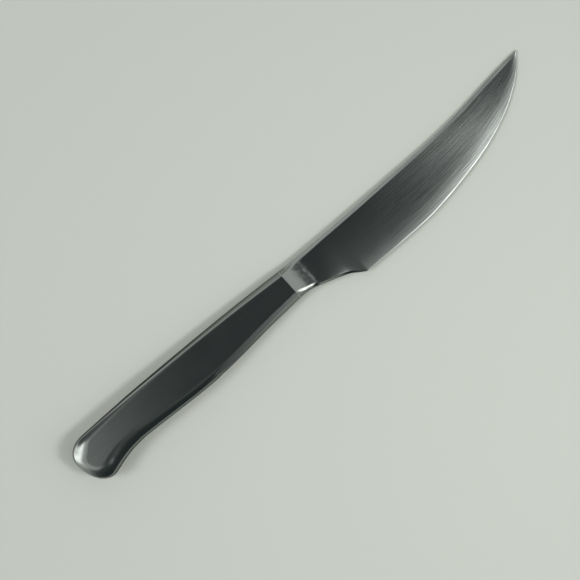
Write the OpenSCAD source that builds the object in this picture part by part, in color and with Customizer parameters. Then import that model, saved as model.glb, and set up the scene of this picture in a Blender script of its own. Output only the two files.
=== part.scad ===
// Steak knife with a hollow metal handle, lying on its side.
// The knife is drawn about its own middle plane: x runs towards the point, y towards the back of the blade,
// z is square to the blade. lay() then rests it on the flat of the lower half shell.

/* [Handle] */
// Length of the hollow handle, from its mouth to the far end of the butt
handle_len = 96.7; // [85:0.1:110]
// Width across the swell in the middle of the grip
grip_w = 16.2; // [14:0.1:19]
// Width across the narrow place in front of the flared butt
waist_w = 15.2; // [13:0.1:18]
// Width across the flared butt, measured to the flare's unrounded corner
flare_w = 18.6; // [17:0.1:21]
// Width across the mouth of the handle
mouth_w = 12; // [10.5:0.1:14]
// Rise of the back from the middle of the grip to the butt
back_rise = 0.6; // [0:0.01:1.5]
// Fall of the back from the middle of the grip to the mouth
back_fall = 2.52; // [1:0.01:3.5]
// Radius of the rounded end of the butt, seen from above
butt_r = 17.4; // [15:0.1:20]
// Thickness over both flats at the butt
butt_h = 11; // [9.5:0.1:12]
// Thickness over both flats at the mouth
mouth_h = 6.8; // [6.4:0.1:8.5]
// Thickness of the stamped sheet
wall = 0.9; // [0.6:0.05:1.2]

/* [Handle sides] */
// Plan width of the sloping side along the back, at the butt
back_side_butt_w = 0.85; // [0.6:0.05:1.4]
// Plan width of the sloping side along the back, at the mouth
back_side_mouth_w = 1.3; // [1:0.05:2]
// Plan width of the sloping side along the finger edge
edge_side_w = 1.3; // [0.8:0.05:1.8]
// Plan width of the near-upright side round the butt
butt_side_w = 0.45; // [0.3:0.05:0.8]
// Plan width of the small rounding between a side and the flat
crisp_w = 0.3; // [0.2:0.05:0.5]
// Plan width of the soft roll round the butt
butt_roll_w = 2.2; // [1.2:0.1:2.8]
// Depth of that roll
butt_roll_d = 0.9; // [0.5:0.05:1.3]
// Plan width of the roll where it is broadest, in the middle of the butt's corner at the back
corner_roll_w = 3.2; // [2:0.1:3.8]
// Depth of the roll there
corner_roll_d = 1.2; // [0.7:0.05:1.6]
// Plan width of the side over the flare, where the roll takes up most of it
flare_side_w = 0.6; // [0.4:0.05:1]
// Plan width of the broad soft roll over the flare
flare_roll_w = 4.6; // [3:0.1:5.2]
// Depth of that roll
flare_roll_d = 2; // [1:0.1:2.4]
// Plan width of the ground facet along the finger edge, near the mouth
facet_w = 2.1; // [1.2:0.1:2.6]
// Depth of that facet
facet_d = 1.25; // [0.8:0.05:1.6]

/* [Blade] */
// Length from the mouth of the handle to the point
blade_len = 113.9; // [95:0.1:130]
// Distance from the mouth to the heel of the cutting edge
heel_len = 23.5; // [20:0.1:28]
// Depth of the heel below the middle line of the grip
heel_drop = 15; // [13:0.1:17]
// Depth of the belly below the heel
belly_drop = 0.6; // [0:0.05:1.5]
// Height of the back above the middle line of the grip, at its lowest
back_low_y = 4.45; // [3.5:0.05:5.5]
// Rise of the point above the lowest part of the back
point_rise = 3.6; // [2:0.1:5]
// Thickness behind the bolster
blade_t = 2.1; // [1.6:0.05:2.6]
// Thickness behind the point
point_t = 0.9; // [0.6:0.05:1.4]
// Width of the blunted point
point_w = 0.35; // [0.2:0.05:0.8]
// Plan width of the bevel along the back
swage_w = 1.15; // [0.6:0.05:1.4]
// Thickness left along the very back
spine_t = 0.8; // [0.5:0.05:1.2]
// Plan width of the sharpened bevel along the cutting edge
bevel_w = 0.65; // [0.4:0.05:1]
// Thickness behind that bevel
bevel_t = 0.4; // [0.25:0.05:0.6]

/* [Bolster and tang] */
// Length of the concave scoop behind the mouth
scoop_len = 8.6; // [6:0.1:10]
// Plan width of the near-upright side under the neck
neck_side_w = 0.15; // [0.1:0.05:0.4]
// Plan width of the softened edge under the neck
neck_round_w = 0.85; // [0.5:0.05:1.2]
// Depth of that softened edge
neck_round_d = 0.5; // [0.3:0.05:0.6]
// Length of the spigot that enters the mouth
spigot_len = 3; // [2:0.1:5]
// Length of the tang beyond the spigot
tang_len = 42; // [30:0.5:55]
// Width of the tang
tang_w = 6.4; // [5:0.1:7.4]
// Thickness of the tang
tang_t = 2.2; // [1.6:0.1:2.8]
// Radius of the notches that key the tang into the cement
notch_r = 1; // [0.6:0.1:1.3]
// Number of notches on each side of the tang
notches = 3; // [1:1:4]

/* [Joints] */
// Thickness of the solder between the rims of the half shells
seam_t = 0.12; // [0.06:0.02:0.3]
// Thickness of the solder ring at the mouth
neck_t = 0.12; // [0.06:0.02:0.3]
// How far both solders stay inside the polished outside
solder_inset = 0.05; // [0.02:0.01:0.12]
// Clearance of the spigot in the mouth
spigot_fit = 0.08; // [0.05:0.01:0.15]
// Clearance round the cement and in its pocket
cement_fit = 0.05; // [0.03:0.01:0.12]
// Metal ground off each flat to make it true
grind = 0.05; // [0.03:0.01:0.1]

/* [Hidden] */

// Steps of the surfaces: plain side, side that follows the butt, rounded corner, half of the butt's end
straight_steps = 16;
bend_steps = 9;
corner_steps = 8;
end_steps = 5;
// Points across one side of a section, from the middle plane to the flat
rings = 7;
// Steps along the scoop, from there to the heel, and along the cutting edge
scoop_steps = 10;
ricasso_steps = 12;
edge_steps = 40;
// One overrun for every cut and every fused root
over = 0.5;

mouth_x = handle_len / 2;
butt_x = -handle_len / 2;
middle_y = grip_w / 2;
taper_a = atan((butt_h - mouth_h) / 2 / handle_len);
point_x = mouth_x + blade_len;
heel_x = mouth_x + heel_len;
shoulder_x = mouth_x + neck_t;

// Lists of [share of the handle's length from its middle, share of the rise or fall of the back]
back_rise_shares = [[-0.62, 0.8], [-0.44, 0.99], [-0.32, 1], [-0.19, 0.9], [-0.08, 0.42], [0, 0]];
back_fall_shares = [[0, 0], [0.17, 0.25], [0.33, 0.56], [0.5, 1]];
// Widths of the handle: [share of its length from the middle, share of the way between two named widths]
flare_shares = [[-0.447, 1], [-0.4, 0.68], [-0.37, 0.44], [-0.32, 0.14], [-0.26, 0]];
swell_shares = [[-0.26, 0], [-0.13, 0.55], [0.01, 1], [0.09, 0.96]];
taper_shares = [[0.09, 0.96], [0.19, 0.79], [0.35, 0.36], [0.5, 0]];
// Where the flare's corner lies, as a share of the handle's length from its middle
flare_place_share = -0.447;
// How a corner's inset leans along the finger edge
flare_lean_share = 0.45;
// Lengths of the rounded corners of the butt along x and y, as shares of the flare's width
back_corner_x_share = 0.42;
back_corner_y_share = 0.3;
flare_corner_x_share = 0.16;
flare_corner_y_share = 0.32;
// How far the centre of the butt's arc lies below the back, as a share of the flare's width
end_centre_share = 0.35;
// Fullness of a rounded corner
round_share = 0.6;
// From here to the butt the side's stations follow the inset of each ring
bend_place_share = -0.2;
// Side profile: up to this share of its height a side takes up only this share of its plan width
lean_height_share = 0.36;
lean_share = 0.14;
// Where the back is soft, and where the finger edge has a narrow side, a roll or a facet: [place, share],
// with places as shares of the handle's length from its middle
back_soft_shares = [[-0.5, 0.9], [-0.3, 0.4], [-0.1, 0.1], [0.1, 0], [0.5, 0]];
flare_side_shares = [[-0.5, 1], [-0.42, 1], [-0.36, 0.6], [-0.28, 0.1], [-0.2, 0], [0.5, 0]];
flare_roll_shares = [[-0.5, 1], [-0.38, 0.95], [-0.3, 0.7], [-0.2, 0.38], [-0.08, 0.1], [0.05, 0], [0.5, 0]];
facet_shares = [[-0.5, 0], [0.1, 0], [0.16, 0.3], [0.24, 0.95], [0.32, 1], [0.42, 0.8], [0.5, 0.65]];
// Step for working out the direction of an outline, as a share of the handle's length
nudge_share = 0.001;

// Back of the blade: [share of the blade's length, share of the fall from the mouth to the lowest place]
spine_fall_shares = [[0, 1], [0.06, 0.68], [0.13, 0.44], [0.22, 0.23], [0.35, 0.08], [0.52, 0]];
// Back of the blade towards the point: [share of its length, share of the rise]
spine_rise_shares = [[0.52, 0], [0.6, 0.01], [0.68, 0.1], [0.76, 0.27], [0.84, 0.56], [0.92, 0.82], [1, 1]];
// Underside of the neck: [share of the heel's distance, share of the drop to the heel]
neck_shares = [
    [0, 0], [0.13, 0.01], [0.28, 0.1], [0.43, 0.24], [0.58, 0.38], [0.72, 0.53], [0.81, 0.645],
    [0.9, 0.82], [1, 1]
];
// Cutting edge: [share of the length from the heel to the point, share of the belly's drop]
belly_shares = [[0, 0], [0.08, 0.45], [0.17, 0.85], [0.26, 1]];
// From there to the point: [the same share of the length, share of the rise to the point]
sweep_shares = [
    [0.26, 0], [0.33, 0.006], [0.415, 0.037], [0.54, 0.113], [0.665, 0.22], [0.78, 0.373], [0.86, 0.53],
    [0.935, 0.735], [1, 1]
];
// How the handle's finger edge turns into the neck's underside: [share of the scoop's length, share done]
neck_side_shares = [[0, 0], [0.2, 0.5], [0.37, 0.76], [0.62, 0.95], [1, 1], [2, 1]];
// How the side along the back turns into the blade's bevel: [share of the scoop's length, share done]
neck_bevel_shares = [[0, 0], [0.5, 0.35], [1, 0.75], [1.6, 1], [2, 1]];
// Between these shares of the heel's distance the bolster's profile turns into the ground blade's
grind_from_share = 0.5;
grind_to_share = 1.35;
// Curve of the ground face: 1 would be a flat grind
grind_power = 2.6;
// How many widths of both bevels the blade is across where its section starts to draw in
full_width_ratio = 2.2;
// Thickness at the very point, as a share of the thickness behind it
point_thin_share = 0.5;
// How strongly the stations crowd towards the point
point_crowd = 0.45;
// How far the centre of a notch lies outside the tang, as a share of its radius
notch_depth_share = 0.25;

function mix(a, b, t) = a + (b - a) * t;
function clamp01(t) = min(1, max(0, t));
// Smooth step from 0 to 1
function ease(t) = let (c = clamp01(t)) c * c * (3 - 2 * c);

// Smooth curve through a list of [place, value], whose slope at each point follows its neighbours
function piece(p, x, i = 0) = i >= len(p) - 2 || x < p[i + 1][0] ? i : piece(p, x, i + 1);
function slope(p, i) =
    let (a = max(0, i - 1), b = min(len(p) - 1, i + 1))
    (p[b][1] - p[a][1]) / (p[b][0] - p[a][0]);
function curve(p, x) =
    let (
        i = piece(p, x),
        step = p[i + 1][0] - p[i][0],
        t = (x - p[i][0]) / step,
        u = 1 - t
    )
    p[i][1] * u * u * (1 + 2 * t) + p[i + 1][1] * t * t * (3 - 2 * t)
    + step * u * t * (slope(p, i) * u - slope(p, i + 1) * t);

// Outline of the handle along its back and along its finger edge
function place(x) = x / handle_len;
function back_y(x) =
    let (s = place(x))
    s < 0
        ? middle_y + back_rise * curve(back_rise_shares, s)
        : middle_y - back_fall * curve(back_fall_shares, s);
function width(x) =
    let (s = place(x))
    s < flare_shares[4][0] ? mix(waist_w, flare_w, curve(flare_shares, s))
    : s < swell_shares[3][0] ? mix(waist_w, grip_w, curve(swell_shares, s))
    : mix(mouth_w, grip_w, curve(taper_shares, s));
function edge_y(x) = back_y(x) - width(x);

// Both outlines moved in by d, square to the line
nudge = nudge_share * handle_len;
function stretch(run) = sqrt(1 + run * run);
function back_in(x, d) =
    let (run = (back_y(x + nudge) - back_y(x - nudge)) / (2 * nudge))
    [x, back_y(x) - d * stretch(run)];
function edge_in(x, d) =
    let (run = (edge_y(x + nudge) - edge_y(x - nudge)) / (2 * nudge))
    [x, edge_y(x) + d * stretch(run)];

// The butt ends in an arc about a centre near the top of the flare
end_centre = [butt_x + butt_r, middle_y + back_rise - end_centre_share * flare_w];
function end_in(y, d) =
    let (r = butt_r - d, h = y - end_centre[1])
    [end_centre[0] - sqrt(r * r - h * h), y];
function end_way(y, d) =
    let (r = butt_r - d, h = y - end_centre[1])
    [h / sqrt(r * r - h * h), 1];

// Rounded corner between point a with direction u and point b with direction v
function cross2(u, v) = u[0] * v[1] - u[1] * v[0];
function meet(a, u, b, v) = a + u * cross2(b - a, v) / cross2(u, v);
function corner(a, u, b, v, t) =
    let (
        x = meet(a, u, b, v),
        p = mix(a, x, round_share),
        q = mix(b, x, round_share),
        s = 1 - t
    )
    s * s * s * a + 3 * s * s * t * p + 3 * s * t * t * q + t * t * t * b;

// Where the corners start on the sides, and on the arc
flare_x = flare_place_share * handle_len;
back_corner_x = flare_w * back_corner_x_share;
back_corner_y = flare_w * back_corner_y_share;
flare_corner_x = flare_w * flare_corner_x_share;
flare_corner_y = flare_w * flare_corner_y_share;
bend_x = bend_place_share * handle_len;
function back_start_x(d) = butt_x + back_corner_x + d;
function edge_start_x(d) = flare_x + flare_corner_x + flare_lean_share * d;
function back_end_y(d) = middle_y + back_rise - back_corner_y - d;
function edge_end_y(d) = edge_y(flare_x) + flare_corner_y + d;

// Station i of a side, moved in by d: along the side, round the corner, and to the middle of the butt's end
side_end = straight_steps + bend_steps;
corner_end = side_end + corner_steps;
stations = corner_end + end_steps;
function side_x(i, from_x, start_x) =
    i <= straight_steps
        ? mix(from_x, bend_x, i / straight_steps)
        : mix(bend_x, start_x, (i - straight_steps) / bend_steps);
function round_way(i) = (i - side_end) / corner_steps;
function end_share(i) = (i - corner_end) / (2 * end_steps + 1);
function way(a, b) = (b - a) / norm(b - a);
function back_point(i, d, from_x) =
    let (
        x0 = back_start_x(d),
        a = back_in(x0, d),
        b = end_in(back_end_y(d), d)
    )
    i <= side_end ? back_in(side_x(i, from_x, x0), d)
    : i <= corner_end ? corner(a, way(back_in(x0 + nudge, d), a), b, end_way(b[1], d), round_way(i))
    : end_in(mix(b[1], edge_end_y(d), end_share(i)), d);
function edge_point(i, d, from_x) =
    let (
        x0 = edge_start_x(d),
        a = edge_in(x0, d),
        b = end_in(edge_end_y(d), d)
    )
    i <= side_end ? edge_in(side_x(i, from_x, x0), d)
    : i <= corner_end ? corner(a, way(edge_in(x0 + nudge, d), a), b, end_way(b[1], d), round_way(i))
    : end_in(mix(b[1], back_end_y(d), end_share(i)), d);

// Half thickness of the handle: both flats are true planes that draw together towards the mouth
function from_butt(x) = (x - butt_x) / handle_len;
function flat_z(x) = mix(butt_h, mouth_h, from_butt(x)) / 2;

// Shape of the side at a place: [width of the slope, width of the roll or facet, its depth, its roundness]
function back_shape(x) =
    let (soft = curve(back_soft_shares, place(x)))
    [
        mix(back_side_butt_w, back_side_mouth_w, from_butt(x)),
        mix(crisp_w, butt_roll_w, soft),
        mix(crisp_w, butt_roll_d, soft),
        1
    ];
function edge_shape(x) =
    let (s = place(x), roll = curve(flare_roll_shares, s), facet = curve(facet_shares, s))
    [
        mix(edge_side_w, flare_side_w, curve(flare_side_shares, s)),
        crisp_w + (flare_roll_w - crisp_w) * roll + (facet_w - crisp_w) * facet,
        crisp_w + (flare_roll_d - crisp_w) * roll + (facet_d - crisp_w) * facet,
        1 - facet
    ];
butt_shape = [butt_side_w, butt_roll_w, butt_roll_d, 1];
corner_bulge = [0, corner_roll_w - butt_roll_w, corner_roll_d - butt_roll_d, 0];
function blend(a, b, i) = mix(a, b, ease(round_way(i)));
// From 0 at both ends of a corner to 1 in its middle
function mid_corner(i) = let (t = clamp01(round_way(i))) ease(2 * min(t, 1 - t));

// Ring j of a side profile, as [inset, height], under a flat at height h
function ring(shape, h, j) =
    let (
        t = (j - 2) / (rings - 3),
        arc = sqrt(1 - (1 - t) * (1 - t)),
        low = h - shape[2]
    )
    j == 0 ? [0, 0]
    : j == 1 ? [shape[0] * lean_share, low * lean_height_share]
    : [shape[0] + shape[1] * t, low + shape[2] * mix(t, arc, shape[3])];

// One point of the handle's skin, set in by "skin" all round
function back_skin(i, j, skin, from_x) =
    let (
        x = back_point(i, 0, from_x)[0],
        shape = blend(back_shape(max(x, back_start_x(0))), butt_shape, i) + corner_bulge * mid_corner(i),
        r = ring(shape, flat_z(x), j),
        p = back_point(i, r[0] + skin, from_x)
    )
    [p[0], p[1], r[1] / flat_z(x) * (flat_z(p[0]) - skin)];
function edge_skin(i, j, skin, from_x) =
    let (
        x = edge_point(i, 0, from_x)[0],
        r = ring(blend(edge_shape(max(x, edge_start_x(0))), butt_shape, i), flat_z(x), j),
        p = edge_point(i, r[0] + skin, from_x)
    )
    [p[0], p[1], r[1] / flat_z(x) * (flat_z(p[0]) - skin)];

// Half section at a station: from the middle plane over the back, across the flat, down the finger edge
function half_section(i, skin, from_x) = concat(
    [for (j = [0:rings - 1]) back_skin(i, j, skin, from_x)],
    [for (j = [rings - 1:-1:0]) edge_skin(i, j, skin, from_x)]
);

// Triangles between two rows of point numbers, leaving out those that have closed to nothing
function strip(a, b) = [
    for (k = [0:len(a) - 2])
        for (f = [[a[k], b[k + 1], b[k]], [a[k], a[k + 1], b[k + 1]]])
            if (f[0] != f[1] && f[1] != f[2] && f[2] != f[0]) f
];
function row(from, to) = [for (k = [from:(to >= from ? 1 : -1):to]) k];
// Tube through sections that are closed loops of n points
function tube(n, sections) = [
    for (i = [0:sections - 2])
        each strip([for (k = [0:n]) i * n + k % n], [for (k = [0:n]) (i + 1) * n + k % n])
];

// Half shell: an outer and an inner skin, joined along the rim and at the mouth
half = 2 * rings;
module half_shell() {
    n = 2 * half;
    last = n * stations;
    points = [
        for (i = [0:stations])
            let (outer = half_section(i, 0, mouth_x), inner = half_section(i, wall, mouth_x))
            each concat(
                [for (p = outer) [p[0], p[1], p[2] + (p[2] > flat_z(p[0]) - grind / 2 ? grind : 0)]],
                [for (k = [half - 1:-1:0]) inner[k]]
            )
    ];
    faces = concat(
        tube(n, stations + 1),
        strip(row(half - 1, 0), row(half, n - 1)),
        strip(row(last, last + rings - 1), row(last + half - 1, last + rings)),
        strip(row(last + half, last + half + rings - 1), row(last + n - 1, last + half + rings)),
        strip([last, last + half - 1], [last + n - 1, last + half])
    );
    polyhedron([for (p = points) [p[0], p[1], max(p[2], seam_t / 2)]], faces, convexity = 6);
}

// Half shell with its flat, which is stamped a little proud, ground to a true plane
module ground_shell() {
    difference() {
        half_shell();
        rotate([0, taper_a, 0])
            translate([-handle_len, -handle_len, flat_z(0) * cos(taper_a)])
                cube([2 * handle_len, 2 * handle_len, butt_h]);
    }
}

// Solid between mirrored sections, the first and the last of them closed; each section is the upper half
function mirrored(s) = concat(s, [for (k = [len(s) - 2:-1:1]) [s[k][0], s[k][1], -s[k][2]]]);
function shut(n, m) = strip(row(m, 0), [for (k = [0:m]) (m + k) % n]);
function unshut(n, m, last) = strip(
    row(last, last + m),
    [for (k = [n:-1:n - m]) last + k % n]
);
module bar(sections) {
    m = len(sections[0]) - 1;
    n = 2 * m;
    last = n * (len(sections) - 1);
    polyhedron(
        [for (s = sections) each mirrored(s)],
        concat(tube(n, len(sections)), shut(n, m), unshut(n, m, last)),
        convexity = 6
    );
}

// Inside of the handle from from_x to the butt, set in by "skin" from the outside of the shells
module filling(skin, from_x) {
    m = half - 1;
    n = 2 * m;
    last = n * stations;
    polyhedron(
        [for (i = [0:stations]) each mirrored(half_section(i, skin, from_x))],
        concat(
            tube(n, stations + 1),
            shut(n, m),
            strip(row(last, last + rings - 1), row(last + m, last + rings)),
            strip(row(last + m, last + m + rings - 1), [for (k = [n:-1:n - rings + 1]) last + k % n])
        ),
        convexity = 6
    );
}

// Section of the handle at a place along its plain sides
function profile(x, skin) = concat(
    [
        for (j = [0:rings - 1])
            let (r = ring(back_shape(x), flat_z(x), j), p = back_in(x, r[0] + skin))
            [x, p[1], r[1] * (1 - skin / flat_z(x))]
    ],
    [
        for (j = [rings - 1:-1:0])
            let (r = ring(edge_shape(x), flat_z(x), j), p = edge_in(x, r[0] + skin))
            [x, p[1], r[1] * (1 - skin / flat_z(x))]
    ]
);
function flip(s) = [for (k = [len(s) - 1:-1:0]) s[k]];

// Outline of the blade and its neck
scoop_x = shoulder_x + scoop_len;
mouth_back_y = back_y(mouth_x);
mouth_edge_y = edge_y(mouth_x);
heel_y = -heel_drop;
belly_y = heel_y - belly_drop;
point_y = back_low_y + point_rise;
low_share = spine_rise_shares[0][0];
function along(x, from, to) = (x - from) / (to - from);
function spine_y(x) =
    let (s = clamp01(along(x, mouth_x, point_x)))
    s < low_share
        ? mix(back_low_y, mouth_back_y, curve(spine_fall_shares, s))
        : mix(back_low_y, point_y, curve(spine_rise_shares, s));
belly_share = sweep_shares[0][0];
function cut_y(x) =
    let (s = clamp01(along(x, heel_x, point_x)))
    s < belly_share
        ? mix(heel_y, belly_y, curve(belly_shares, s))
        : mix(belly_y, point_y - point_w, curve(sweep_shares, s));
function under_y(x) =
    x < heel_x
        ? mix(mouth_edge_y, heel_y, curve(neck_shares, clamp01(along(x, mouth_x, heel_x))))
        : cut_y(x);

// Half thickness: the scoop is an arc that runs into the flat of the blade, which then thins to the point
mouth_z = flat_z(shoulder_x);
scoop_drop = mouth_z - blade_t / 2;
scoop_r = (scoop_len * scoop_len + scoop_drop * scoop_drop) / (2 * scoop_drop);
function half_t(x) =
    let (run = scoop_x - x)
    x < scoop_x
        ? blade_t / 2 + scoop_r - sqrt(scoop_r * scoop_r - run * run)
        : mix(blade_t, point_t, along(x, scoop_x, point_x)) / 2 * mix(point_thin_share, 1, draw_in(x));

// Ground face at a share of its width above the bevel, which fades out at the point
function face_z(x, s) =
    let (low = bevel_t / 2 * draw_in(x))
    low + (half_t(x) - low) * (1 - pow(1 - s, grind_power));

// Between the bolster's profile and the ground blade's, from 0 to 1
grind_from_x = mix(mouth_x, heel_x, grind_from_share);
grind_to_x = mix(mouth_x, heel_x, grind_to_share);
function ground_share(x) = ease(along(x, grind_from_x, grind_to_x));

// Near the point everything across the blade draws in with its width
function draw_in(x) = min(1, (spine_y(x) - under_y(x)) / (full_width_ratio * (swage_w + bevel_w)));

// Points of a section as [inset, height]: the handle's profile turns into the neck's, then into the blade's
neck_shape = [neck_side_w, neck_round_w, neck_round_d, 1];
function done(p, x) = curve(p, min(p[len(p) - 1][0], along(x, shoulder_x, scoop_x)));
function edge_ring(x, j) =
    let (
        neck = ring(mix(edge_shape(mouth_x), neck_shape, done(neck_side_shares, x)), half_t(x), j),
        face_w = (spine_y(x) - under_y(x)) - (bevel_w + swage_w) * draw_in(x),
        s = max(0, j - 1) / (rings - 1),
        ground = j == 0 ? [0, 0] : [bevel_w * draw_in(x) + face_w * s, face_z(x, s)]
    )
    mix(neck, ground, ground_share(x));
function back_ring(x, j) =
    let (
        neck = ring(back_shape(mouth_x), mouth_z, j),
        full = ring(back_shape(mouth_x), mouth_z, rings - 1)[0],
        share = done(neck_bevel_shares, x),
        w = mix(full, swage_w, share) * draw_in(x),
        z = half_t(x) * neck[1] / mouth_z
    )
    [w * neck[0] / full, j == 1 ? mix(z, half_t(x) * spine_t / blade_t, share) : z];
function blade_section(x) = concat(
    [for (j = [0:rings - 1]) let (r = edge_ring(x, j)) [x, under_y(x) + r[0], r[1]]],
    [for (j = [rings - 1:-1:0]) let (r = back_ring(x, j)) [x, spine_y(x) - r[0], r[1]]]
);
// Stations crowd towards the point
function crowd(t) = t * (1 + point_crowd * (1 - t));
blade_places = concat(
    [for (i = [0:scoop_steps]) mix(shoulder_x, scoop_x, i / scoop_steps)],
    [for (i = [1:ricasso_steps]) mix(scoop_x, heel_x, i / ricasso_steps)],
    [for (i = [1:edge_steps]) mix(heel_x, point_x, crowd(i / edge_steps))]
);

// Plan of the tang, grown by "grow" for its pocket, with its root at the origin
module tang_plan(grow) {
    difference() {
        union() {
            translate([-tang_len + tang_w / 2, -tang_w / 2 - grow])
                square([tang_len - tang_w / 2 + over, tang_w + 2 * grow]);
            translate([-tang_len + tang_w / 2, 0])
                circle(r = tang_w / 2 + grow);
        }
        for (i = [1:notches], side = [-1, 1])
            translate([-tang_len * i / (notches + 1), side * (tang_w / 2 + notch_depth_share * notch_r)])
                circle(r = notch_r - grow);
    }
}
module tang(grow) {
    translate([mouth_x - spigot_len, (mouth_back_y + mouth_edge_y) / 2, 0])
        linear_extrude(tang_t + 2 * grow, center = true)
            tang_plan(grow);
}

// Turns the knife so that the flat of its lower half shell is the ground plane
module lay() {
    translate([0, 0, flat_z(0) * cos(taper_a)])
        rotate([0, taper_a, 0])
            children();
}

module blade() {
    color("lightsteelblue")
        lay() {
            bar([for (x = blade_places) blade_section(x)]);
            bar([
                for (x = [mouth_x - spigot_len, mouth_x, shoulder_x + over])
                    let (s = flip(profile(min(x, mouth_x), wall + spigot_fit)))
                    [for (p = s) [x, p[1], p[2]]]
            ]);
            tang(0);
        }
}

module upper_handle_shell() {
    color("silver")
        lay()
            ground_shell();
}

module lower_handle_shell() {
    color("gainsboro")
        lay()
            mirror([0, 0, 1])
                ground_shell();
}

module seam_solder() {
    steps = row(0, stations);
    back_steps = row(stations, 0);
    color("lightgray")
        lay()
            linear_extrude(seam_t, center = true)
                polygon(concat(
                    [for (i = steps) back_point(i, solder_inset, mouth_x)],
                    [for (i = back_steps) edge_point(i, solder_inset, mouth_x)],
                    [for (i = steps) edge_point(i, wall, mouth_x)],
                    [for (i = back_steps) back_point(i, wall, mouth_x)]
                ));
}

module neck_solder() {
    color("lightgray")
        lay()
            translate([mouth_x, 0, 0])
                rotate([90, 0, 90])
                    linear_extrude(neck_t)
                        difference() {
                            mouth_plan(solder_inset);
                            mouth_plan(wall);
                        }
}
module mouth_plan(skin) {
    polygon([for (p = mirrored(profile(mouth_x, skin))) [p[1], p[2]]]);
}

module cement_core() {
    color("darkgray")
        lay()
            difference() {
                filling(wall + cement_fit, mouth_x - spigot_len - cement_fit);
                tang(cement_fit);
            }
}

blade();
upper_handle_shell();
lower_handle_shell();
seam_solder();
neck_solder();
cement_core();
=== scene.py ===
"""Steak knife with a hollow metal handle, lying on its side on a pale floor.

Every surface is worked out about the knife's own middle plane: x runs from the butt towards the point,
y towards the back of the blade, z is square to the blade. lay_down() then rests the knife on the flat of its
lower half shell.
"""

import math

import bmesh
import bpy
import numpy as np
from bpy.props import FloatProperty, FloatVectorProperty, PointerProperty
from mathutils import Matrix, Vector


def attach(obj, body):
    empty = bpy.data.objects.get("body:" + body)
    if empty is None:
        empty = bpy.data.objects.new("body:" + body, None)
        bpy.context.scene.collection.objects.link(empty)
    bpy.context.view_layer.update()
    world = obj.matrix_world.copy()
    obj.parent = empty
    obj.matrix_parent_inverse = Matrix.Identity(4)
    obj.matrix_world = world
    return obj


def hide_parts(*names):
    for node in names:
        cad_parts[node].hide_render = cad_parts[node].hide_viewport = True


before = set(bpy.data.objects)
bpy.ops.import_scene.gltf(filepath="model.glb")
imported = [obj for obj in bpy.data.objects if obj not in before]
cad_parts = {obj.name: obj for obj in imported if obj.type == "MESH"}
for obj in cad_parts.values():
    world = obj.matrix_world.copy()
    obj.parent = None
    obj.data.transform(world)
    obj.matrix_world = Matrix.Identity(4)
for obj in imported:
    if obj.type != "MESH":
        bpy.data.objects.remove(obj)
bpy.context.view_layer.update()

bl_info = {
    "name": "Steak knife",
    "version": (1, 0, 0),
    "blender": (4, 5, 0),
    "location": "3D View > Sidebar > Knife",
    "description": "Builds a steak knife with a hollow handle, its finishes and its studio",
    "category": "Add Mesh",
}

MM = 0.001
BODY = "root"


def length(name, mm, text):
    """A length whose default is given in millimetres."""
    return FloatProperty(name=name, description=text, default=mm * MM, min=0.0, unit="LENGTH", precision=5)


def pair(name, width, depth, text):
    """A width, seen from above, and a depth, whose defaults are given in millimetres."""
    sizes = (width * MM, depth * MM)
    return FloatVectorProperty(
        name=name, description=text, default=sizes, size=2, min=0.0, unit="LENGTH", precision=5,
    )


def share(name, value, text):
    """A share between 0 and 1."""
    return FloatProperty(name=name, description=text, default=value, min=0.0, max=1.0, subtype="FACTOR")


def degrees(name, value, text):
    """An angle whose default is given in degrees."""
    return FloatProperty(name=name, description=text, default=math.radians(value), subtype="ANGLE")


def watts(name, value, text):
    """The power of a lamp."""
    return FloatProperty(name=name, description=text, default=value, min=0.0)


def tint(name, red, green, blue, text):
    """A colour whose default is given as screen values from 0 to 255."""
    value = [linear(c / 255) for c in (red, green, blue)]
    return FloatVectorProperty(
        name=name, description=text, default=value, size=3, min=0.0, max=1.0, subtype="COLOR",
    )


def linear(c):
    """A screen value from 0 to 1 as the amount of light that it stands for, by the usual curve of screens."""
    return c / 12.92 if c <= 0.04045 else ((c + 0.055) / 1.055) ** 2.4


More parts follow.
